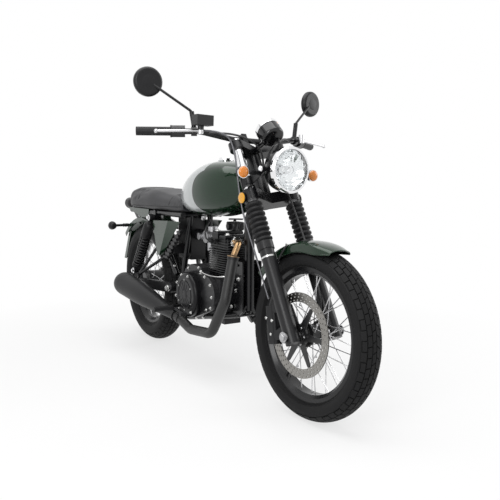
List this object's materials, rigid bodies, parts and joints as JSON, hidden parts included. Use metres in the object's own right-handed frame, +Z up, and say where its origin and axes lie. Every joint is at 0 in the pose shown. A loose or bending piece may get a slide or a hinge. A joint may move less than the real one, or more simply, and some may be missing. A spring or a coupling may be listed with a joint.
{
  "type": "solo retro motorcycle",
  "caption": "Retro single-cylinder motorcycle on its side stand, with spoked wheels, gaitered fork, round lamp and bench seat.",
  "frame": {"origin": "On the floor under the middle of the motorcycle's length and width", "axes": "+X forward, +Y to the rider's left, +Z up"},
  "size_m": [2.0695, 0.9008, 1.2657],
  "materials": {
    "tyre": "matt black rubber with a block tread",
    "rubber": "matt black rubber",
    "black_metal": "satin black enamel",
    "exhaust_black": "matt black heat-proof paint",
    "engine_black": "satin black over cast alloy",
    "steel": "zinc-plated steel",
    "disc_steel": "ground steel",
    "chrome": "polished chrome",
    "alloy": "cast alloy",
    "slider_grey": "dark satin grey",
    "black_plastic": "fine-grained black plastic",
    "green_paint": "gloss dark green metallic",
    "vinyl": "dark grey seat vinyl",
    "glass": "clear pressed glass",
    "amber": "amber lens in a black housing"
  },
  "bodies": {
    "chassis": {"frame": "black_metal", "seat_frame": "black_metal", "swingarm": "black_metal", "pivot_shaft": "steel", "rear_axle": "steel", "rear_shocks": "black_metal", "drive_chain": "steel", "chain_guard": "black_metal", "crankcase": "engine_black", "engine_covers": "engine_black", "cylinder": "engine_black", "cylinder_head": "engine_black", "carburettor": "alloy", "airbox": "black_plastic", "exhaust_pipe": "exhaust_black", "muffler": "exhaust_black", "fuel_tank": "green_paint", "filler_cap": "chrome", "seat": "vinyl", "side_panels": "green_paint", "rear_mudguard": "green_paint", "rear_lamps": "amber", "footrests": "rubber"},
    "steering": {"front_axle": "steel", "fork_sliders": "slider_grey", "stanchions": "chrome", "fork_gaiters": "rubber", "fork_clamps": "black_metal", "handlebar": "black_metal", "grips": "rubber", "hand_controls": "black_metal", "mirrors": "black_plastic", "speedometer": "black_plastic", "headlamp": "black_metal", "headlamp_ring": "chrome", "headlamp_lens": "glass", "front_signals": "amber", "front_mudguard": "green_paint", "brake_caliper": "black_metal", "control_cables": "rubber"},
    "front_wheel": {"front_tyre": "tyre", "front_rim": "black_metal", "front_hub": "steel", "brake_disc": "disc_steel"},
    "rear_wheel": {"rear_tyre": "tyre", "rear_rim": "black_metal", "rear_hub": "steel", "rear_sprocket": "steel"},
    "stand": {"side_stand": "black_metal"}
  },
  "joints": [
    {"name": "steering_turn", "type": "hinge", "parent": "chassis", "child": "steering", "pos_m": [0.69039, 0, 0.2883], "axis": [-0.4924, 0, 0.8704], "range_deg": [-42.6, 33.4]},
    {"name": "front_wheel_turn", "type": "hinge", "parent": "steering", "child": "front_wheel", "pos_m": [0.72509, 0.00321, 0.30794], "axis": [-0.0698, 0.9968, -0.0395], "continuous": true},
    {"name": "rear_wheel_turn", "type": "hinge", "parent": "chassis", "child": "rear_wheel", "pos_m": [-0.6668, 0, 0.314], "axis": [0, 1, 0], "continuous": true},
    {"name": "stand_swing", "type": "hinge", "parent": "chassis", "child": "stand", "pos_m": [0.1832, 0.092, 0.254], "axis": [0.0658, 0.8577, 0.5099], "range_deg": [0, 91]}
  ]
}
